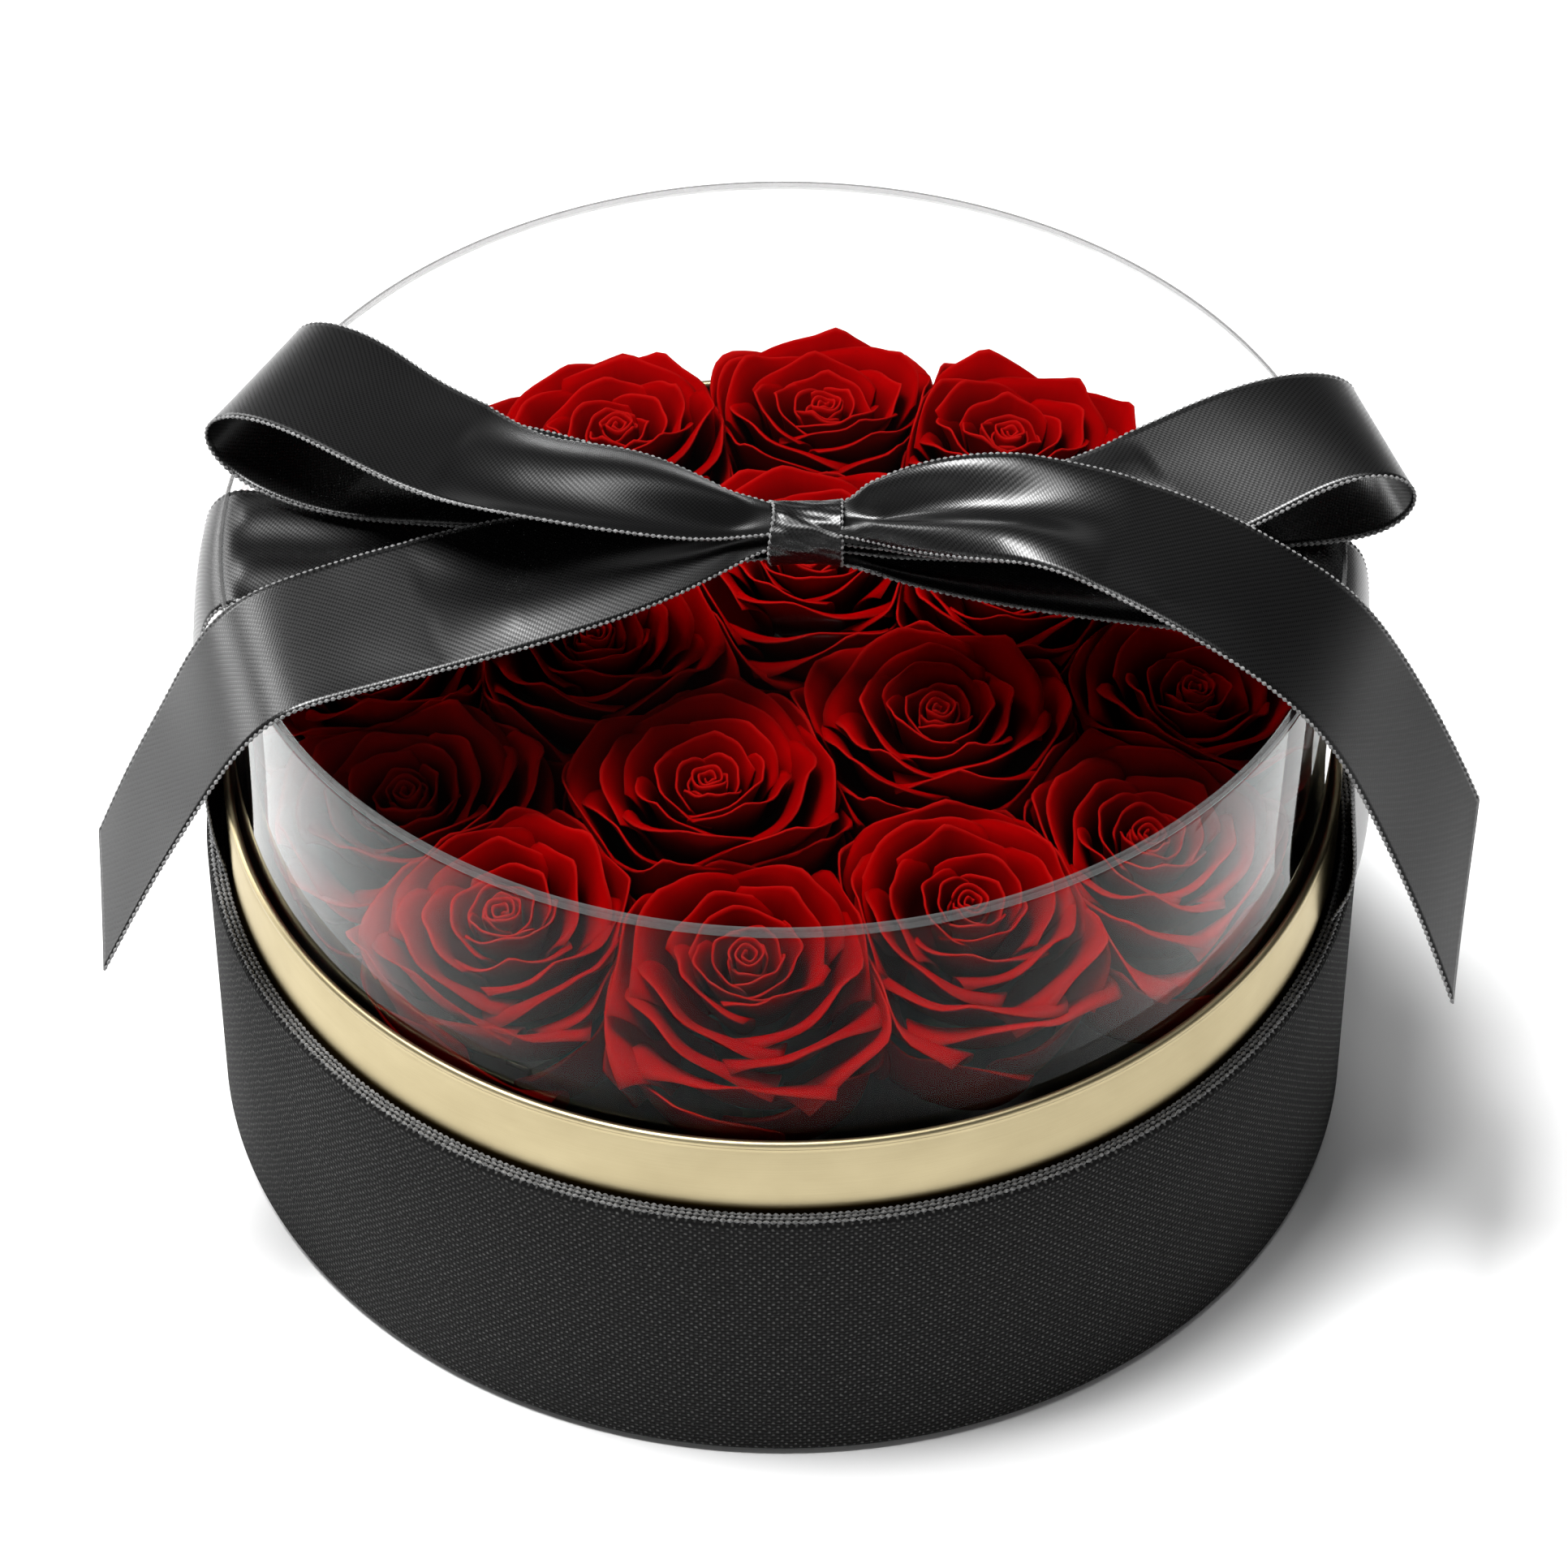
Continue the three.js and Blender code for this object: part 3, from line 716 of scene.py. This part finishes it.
def pack_in(points, eye, others):
    """Presses a rose's petals against its neighbours' and against the lid's wall, in metres."""
    for other in others:
        way = (other - eye)[:2]
        apart = np.linalg.norm(way)
        if apart > NEIGHBOUR_WITHIN * ROSE_SPREAD:
            continue
        way = way / apart
        reach = (points[..., :2] - eye[:2]) @ way
        moved = pressed(reach, apart / 2 + PETAL_OVERLAP, GIVE_TO_ROSE) - reach
        points[..., :2] += moved[..., None] * way
    radius = np.linalg.norm(points[..., :2], axis=-1)
    held = pressed(radius, LID_RADIUS - LID_WALL - WALL_GAP, GIVE_TO_WALL)
    points[..., :2] *= (held / np.maximum(radius, 1e-9))[..., None]
    points[..., 2] = np.maximum(points[..., 2], card_high.z + CARD_GAP)
    points[..., 2] = pressed(points[..., 2], HEADROOM, GIVE_TO_HEADROOM)
    return points


def make_rose(number, axes, material):
    """One rose head: the furled middle and every ring of petals, in one piece."""
    chance = random.Random(100 + number)
    eye, way = axes[number]
    side = np.cross((0.0, 1.0, 0.0), way)
    side /= np.linalg.norm(side)
    ahead = np.cross(way, side)
    basis = np.stack([side, ahead, way])
    others = [place for key, (place, _) in axes.items() if key != number]
    grids = [bud_grid(chance)]
    turn = chance.uniform(0, 6.28)
    for radius, count, rim, roll, depth, foot in PETAL_RINGS:
        turn += chance.uniform(0.4, 0.9)
        for k in range(count):
            where = turn + 2 * math.pi * k / count + chance.uniform(-0.12, 0.12)
            grids.append(petal_grid(chance, radius, count, rim, roll, depth, foot, where))
    points, faces, places, grains = [], [], [], []
    for grid, nearness, grain in grids:
        world = pack_in(eye + (grid * MM) @ basis, eye, others)
        vertices, quads = closed_sheet(world, PETAL)
        faces.append(quads + sum(len(p) for p in points))
        points.append(vertices)
        own = np.full(nearness.size, chance.random())
        place = np.stack([nearness.ravel(), nearness.ravel(), own], 1)
        places.append(np.vstack([place, place]))
        grains.append(np.vstack([grain.reshape(-1, 3)] * 2))
    rose = make_piece(f"rose_petals_{number:02d}", np.vstack(points), np.vstack(faces).tolist(), material,
                      {"place": np.vstack(places), "grain": np.vstack(grains)})
    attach(rose, "base")
    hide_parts(f"rose_head_{number:02d}")


def make_roses(material):
    axes = {number: rose_axes(number) for number in range(1, ROSE_COUNT + 1)}
    for number in axes:
        make_rose(number, axes, material)


# =========================================================== ribbon
# A strip's stations: x, y, z of its middle line, then the heading and the tilt, in degrees, of the line
# across it from its front edge to its back edge, and its width there. Millimetres.
LOOP_LEFT = [
    (2.5, -8, 135.9, 90, 0, 6), (-4, -8, 136.4, 92, 4, 7.5), (-12, -8.5, 139.4, 98, 12, 15),
    (-27, -8.5, 144, 88, 2, 23),
    (-42, -7, 145.5, 83, -9, 28), (-57, -1, 146, 70, -6, 30), (-69, 7, 146.5, 63, -7, 30),
    (-79, 15.5, 147, 56, -3, 30), (-87, 20.5, 146.5, 55, 0, 30), (-93.5, 24.5, 144, 58, 3, 30),
    (-96.8, 26, 139, 62, 2, 30), (-94.5, 25, 132.8, 64, 0, 30), (-87, 20, 130.4, 63, 0, 30),
    (-73, 13, 130.6, 65, 0, 30), (-56, 10, 131, 72, 0, 28), (-34, 5, 131.3, 82, 0, 22),
    (-15, -2.5, 131.6, 88, 0, 14), (-4, -7.4, 131.8, 90, 0, 7.5), (2.5, -8, 131.8, 90, 0, 6),
]
LOOP_RIGHT = [
    (5.5, -8, 133.8, 90, 0, 6), (12, -8, 133.8, 90, 0, 7.5), (20, -8.5, 134, 96, 0, 14),
    (34, -9, 135.4, 106, 0, 21), (51, -8, 137.4, 115, 0, 27), (68, -3.5, 139.4, 119, 5, 30),
    (81, 2, 142.8, 120, 4, 30),
    (91, 5, 145.8, 117, 0, 30), (99, 7, 146, 113, 0, 30), (105.4, 8.5, 143.6, 109, 0, 30),
    (108.2, 10, 138.4, 106, 0, 30), (106.5, 10.5, 132.6, 106, 0, 30), (99.5, 8.5, 130.2, 107, 0, 30),
    (84, 6, 130.2, 109, 0, 30), (65, 3, 130.5, 110, 0, 28), (42, -1, 130.8, 104, 0, 22),
    (22, -5, 131.4, 96, 0, 14), (12, -7.6, 131.8, 90, 0, 7.5), (5.5, -8, 131.8, 90, 0, 6),
]
TAIL_LEFT = [
    (2.5, -8, 133.8, 90, 0, 6), (-4, -9, 133.8, 92, 0, 7.5), (-13, -12.5, 133.7, 96, 0, 15),
    (-27, -16.5, 134, 100, 3, 24),
    (-44, -21, 133.8, 103, 5, 29), (-62, -26.5, 132.6, 107, 7, 30), (-79, -31.5, 130.6, 109, 5, 30),
    (-91, -35.5, 128.8, 109, 1, 30), (-98.5, -37.5, 121, 107, 0, 30), (-104.5, -40.5, 111, 104, 0, 30),
    (-112, -48, 101, 102, 0, 30), (-119.5, -58.5, 90, 99, 0, 30),
]
TAIL_RIGHT = [
    (5.5, -8, 135.9, 90, 0, 6), (12, -8.6, 136.4, 92, 0, 7.5), (20, -12, 141, 89, 8, 16),
    (33, -15.5, 145, 84, 5, 23), (46, -18, 146, 79, -5, 28), (58, -21, 144.6, 71, -2, 30),
    (71, -27, 142.2, 65, 0, 30), (84, -33, 137.4, 64, 0, 30), (94.5, -36.5, 130.4, 66, 2, 30),
    (102.6, -38, 119, 66, 0, 30), (110, -42, 106, 64, 0, 30), (117.3, -47.5, 91.5, 64, 0, 30),
    (123.4, -54, 76, 66, 0, 30),
]
# A strap's stations: reach from the box's axis, height and width.
STRAP_IN_SLOT = [(102.7, 46, 30), (102.7, 53, 30), (102.65, 59.4, 30)]
STRAP_RISE = {
    "left": [(103.4, 62.2, 30), (104.6, 64.4, 30), (105.2, 69, 30), (105.7, 77, 30), (106, 86, 30),
             (106, 95, 30), (105.5, 106, 30)],
    "right": [(103.6, 62.2, 30), (106, 63.2, 30), (107.9, 66.6, 30), (107.8, 73, 30), (106.8, 83, 30),
              (105.9, 94, 30), (105, 106, 30)],
}
STRAP_OVER_LID = [
    (104.3, 117, 30), (103.4, 124, 30), (101.4, 127.5, 30), (97, 127.6, 30), (84, 127.4, 28),
    (66, 127.4, 25), (46, 127.5, 21), (28, 128.2, 16), (16, 129.2, 10.5),
]
STRAP_Y = {"left": -4.5, "right": -17}
STRAP_CURVED_FROM = 70
KNOT_X, KNOT_Y = 4, -8
TAIL_CUT = {"left": 0.02, "right": 0.09}  # share of the strip that the slanted end takes off one edge


def strip_surface(stations, cut):
    """A loop's or tail's surface: points and widths, where t runs along it and s across it."""
    def surface(t, s):
        place = t * (1 - cut * s)
        values = catmull_rom(stations, place)
        turn, rise = np.radians(values[..., 3]), np.radians(values[..., 4])
        across = np.stack([np.cos(turn) * np.cos(rise), np.sin(turn) * np.cos(rise), np.sin(rise)], -1)
        return values[..., :3] + across * ((s - 0.5) * values[..., 5])[..., None], values[..., 5]
    return surface


def strap_surface(name):
    """A strap's surface, in the same terms: out of the slot, up the lid's wall and over to the knot."""
    side = -1 if name == "left" else 1
    stations = [*STRAP_IN_SLOT, *STRAP_RISE[name], *STRAP_OVER_LID,
                (side * KNOT_X + 8, 129.9, 6.2), (side * KNOT_X + 1.5, 129.9, 5.2)]

    def surface(t, s):
        values = catmull_rom(stations, t)
        reach, z, width = values[..., 0], values[..., 1], values[..., 2]
        y = KNOT_Y + (STRAP_Y[name] - KNOT_Y) * np.clip(reach / 100, 0, 1) + (s - 0.5) * width * side
        sagitta = reach - np.sqrt(np.maximum(0, reach ** 2 - y ** 2))
        curved = smoothstep(reach, STRAP_CURVED_FROM, 100)
        return np.stack([side * (reach - curved * sagitta), y, z + 0 * s], -1), width + 0 * s
    return surface


def even_parameters(surface, step):
    """The strip's length, and parameters whose points on its middle line lie step millimetres apart."""
    fine = np.linspace(0, 1, 1500)
    middle, _ = surface(fine, np.full(fine.shape, 0.5))
    run = np.concatenate([[0], np.cumsum(np.linalg.norm(np.diff(middle, axis=0), axis=1))])
    return np.interp(np.linspace(0, run[-1], round(run[-1] / step) + 1), run, fine), run[-1]


def picot_edge(name, line, threads):
    edge = bead_chain(name, line, PICOT_PITCH, PICOT_RADIUS, threads)
    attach(edge, "ribbon")
    return edge


def ribbon_strip(name, node, surface, folds, satin, threads):
    """A length of satin with gathers where it narrows, and its two beaded edges."""
    at, length = even_parameters(surface, STRIP_STEP)
    s = np.linspace(0, 1, STRIP_COLUMNS + 1)
    t_grid, s_grid = np.meshgrid(at, s, indexing="ij")
    grid, width = surface(t_grid, s_grid)
    flat = grid.reshape(len(at), -1)
    grid = smoothed(flat, STRIP_SMOOTHING).reshape(grid.shape)
    count, phase, height = folds
    full = RIBBON_WIDTH / MM
    excess = np.sqrt(np.maximum(full / np.maximum(width, 1) - 1, 0))
    free = smoothstep(width, 6, 13)
    depth = np.minimum(height, width * excess / (math.pi * count) * 0.9) * (0.18 + 0.82 * free)
    wave = np.cos(2 * np.pi * count * s_grid + phase) * depth
    grid = grid + surface_normals(grid) * wave[..., None]
    points, faces = closed_sheet(grid * MM, RIBBON)
    along = np.broadcast_to(np.linspace(0, length, len(at))[:, None], s_grid.shape)
    place = np.stack([along, s_grid * full, np.zeros_like(along)], 2).reshape(-1, 3)
    piece = make_piece(name, points, faces.tolist(), satin, {"place": np.vstack([place, place])})
    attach(piece, "ribbon")
    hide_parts(node)
    for label, column in (("front", 0), ("back", STRIP_COLUMNS)):
        picot_edge(f"{name}_picot_{label}", grid[:, column] * MM, threads)


def make_knot(satin, threads):
    """The wrap round the middle of the bow: waisted, creased, with one fold across it."""
    centre = (knot_low + knot_high) / 2
    length = knot_high.x - knot_low.x
    depth = knot_high.y - knot_low.y
    height = knot_high.z - knot_low.z
    rows, columns = 44, 97
    u = np.linspace(-1, 1, rows)[:, None]
    turn = np.linspace(0, 2 * np.pi, columns)[None, :]
    waist = 0.90 + 0.07 * u ** 2
    crease = 0.012 * np.sin(9 * turn + 3 * u) + 0.010 * np.sin(17 * turn - 5 * u)
    across_fold = turn - (2.05 + 0.55 * u)
    flap = 0.055 * smoothstep(across_fold, -0.05, 0.12) * (1 - smoothstep(across_fold, 0.5, 1.6))
    scale = waist + crease + flap
    rounded = 0.14 * smoothstep(-u, 0.45, 1.0) * np.abs(np.sin(turn)) ** 2
    scale = scale - 0.5 * rounded
    x = centre.x + u * length / 2 * (0.985 - rounded)
    y = centre.y + np.cos(turn) * depth / 2 * scale
    z = centre.z + np.sin(turn) * height / 2 * scale
    grid = np.stack([x, y, z], 2)
    points, faces = closed_sheet(grid, WRAP_THICKNESS)
    across = (u + 1) / 2 * WRAP_WIDTH / MM + 0 * turn
    around = turn * (depth + height) / 4 / MM + 0 * u
    place = np.stack([around, across, 0 * across], 2).reshape(-1, 3)
    wrap = make_piece("knot_wrap", points, faces.tolist(), satin, {"place": np.vstack([place, place])})
    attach(wrap, "ribbon")
    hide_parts("bow_knot_wrap")
    for label, row in (("left", 0), ("right", rows - 1)):
        picot_edge(f"knot_wrap_picot_{label}", grid[row], threads)


def make_ribbon(satin, threads):
    # Name, node, surface, folds (how many, phase and height in millimetres) and how it is held.
    strips = [
        ("satin_strap_left", "ribbon_strap_left", strap_surface("left"), (2.0, 0.4, 0.5), "stretched"),
        ("satin_strap_right", "ribbon_strap_right", strap_surface("right"), (2.0, 1.9, 0.5), "stretched"),
        ("satin_loop_left", "bow_loop_left", strip_surface(LOOP_LEFT, 0),
         (1.2, -1.7, 1.5), "gathered"),
        ("satin_loop_right", "bow_loop_right", strip_surface(LOOP_RIGHT, 0),
         (1.25, 0.6, 1.0), "gathered"),
        ("satin_tail_left", "bow_tail_left", strip_surface(TAIL_LEFT, TAIL_CUT["left"]),
         (1.25, 0.9, 0.9), "draped"),
        ("satin_tail_right", "bow_tail_right", strip_surface(TAIL_RIGHT, TAIL_CUT["right"]),
         (1.25, -1.57, 2.4), "draped"),
    ]
    for name, node, surface, folds, held in strips:
        ribbon_strip(name, node, surface, folds, satin, threads)
    make_knot(satin, threads)


# =========================================================== the scene
def make_floor():
    reach = 4.0
    points = [(-reach, -reach, 0), (reach, -reach, 0), (reach, reach, 0), (-reach, reach, 0)]
    floor = make_piece("floor", points, [(0, 1, 2, 3)], floor_finish())
    floor.location.z = -0.1 * MM


make_camera()
make_world()
make_lights()
make_floor()
make_cover(canvas_finish(), thread_finish("rim_thread", 0.01, 0.20))
make_collar(gilt_finish())
finish_inner_nodes(
    board_finish("black_card", (0.006, 0.006, 0.006), (0.016, 0.016, 0.016)),
    board_finish("grey_board", (0.20, 0.19, 0.165), (0.31, 0.295, 0.26)),
    foam_finish(),
    stem_finish(),
)
make_roses(petal_finish())
make_lid(clear_finish(), edge_finish(), glint_finish())
make_ribbon(satin_finish(), thread_finish("picot_thread", 0.05, 0.26))
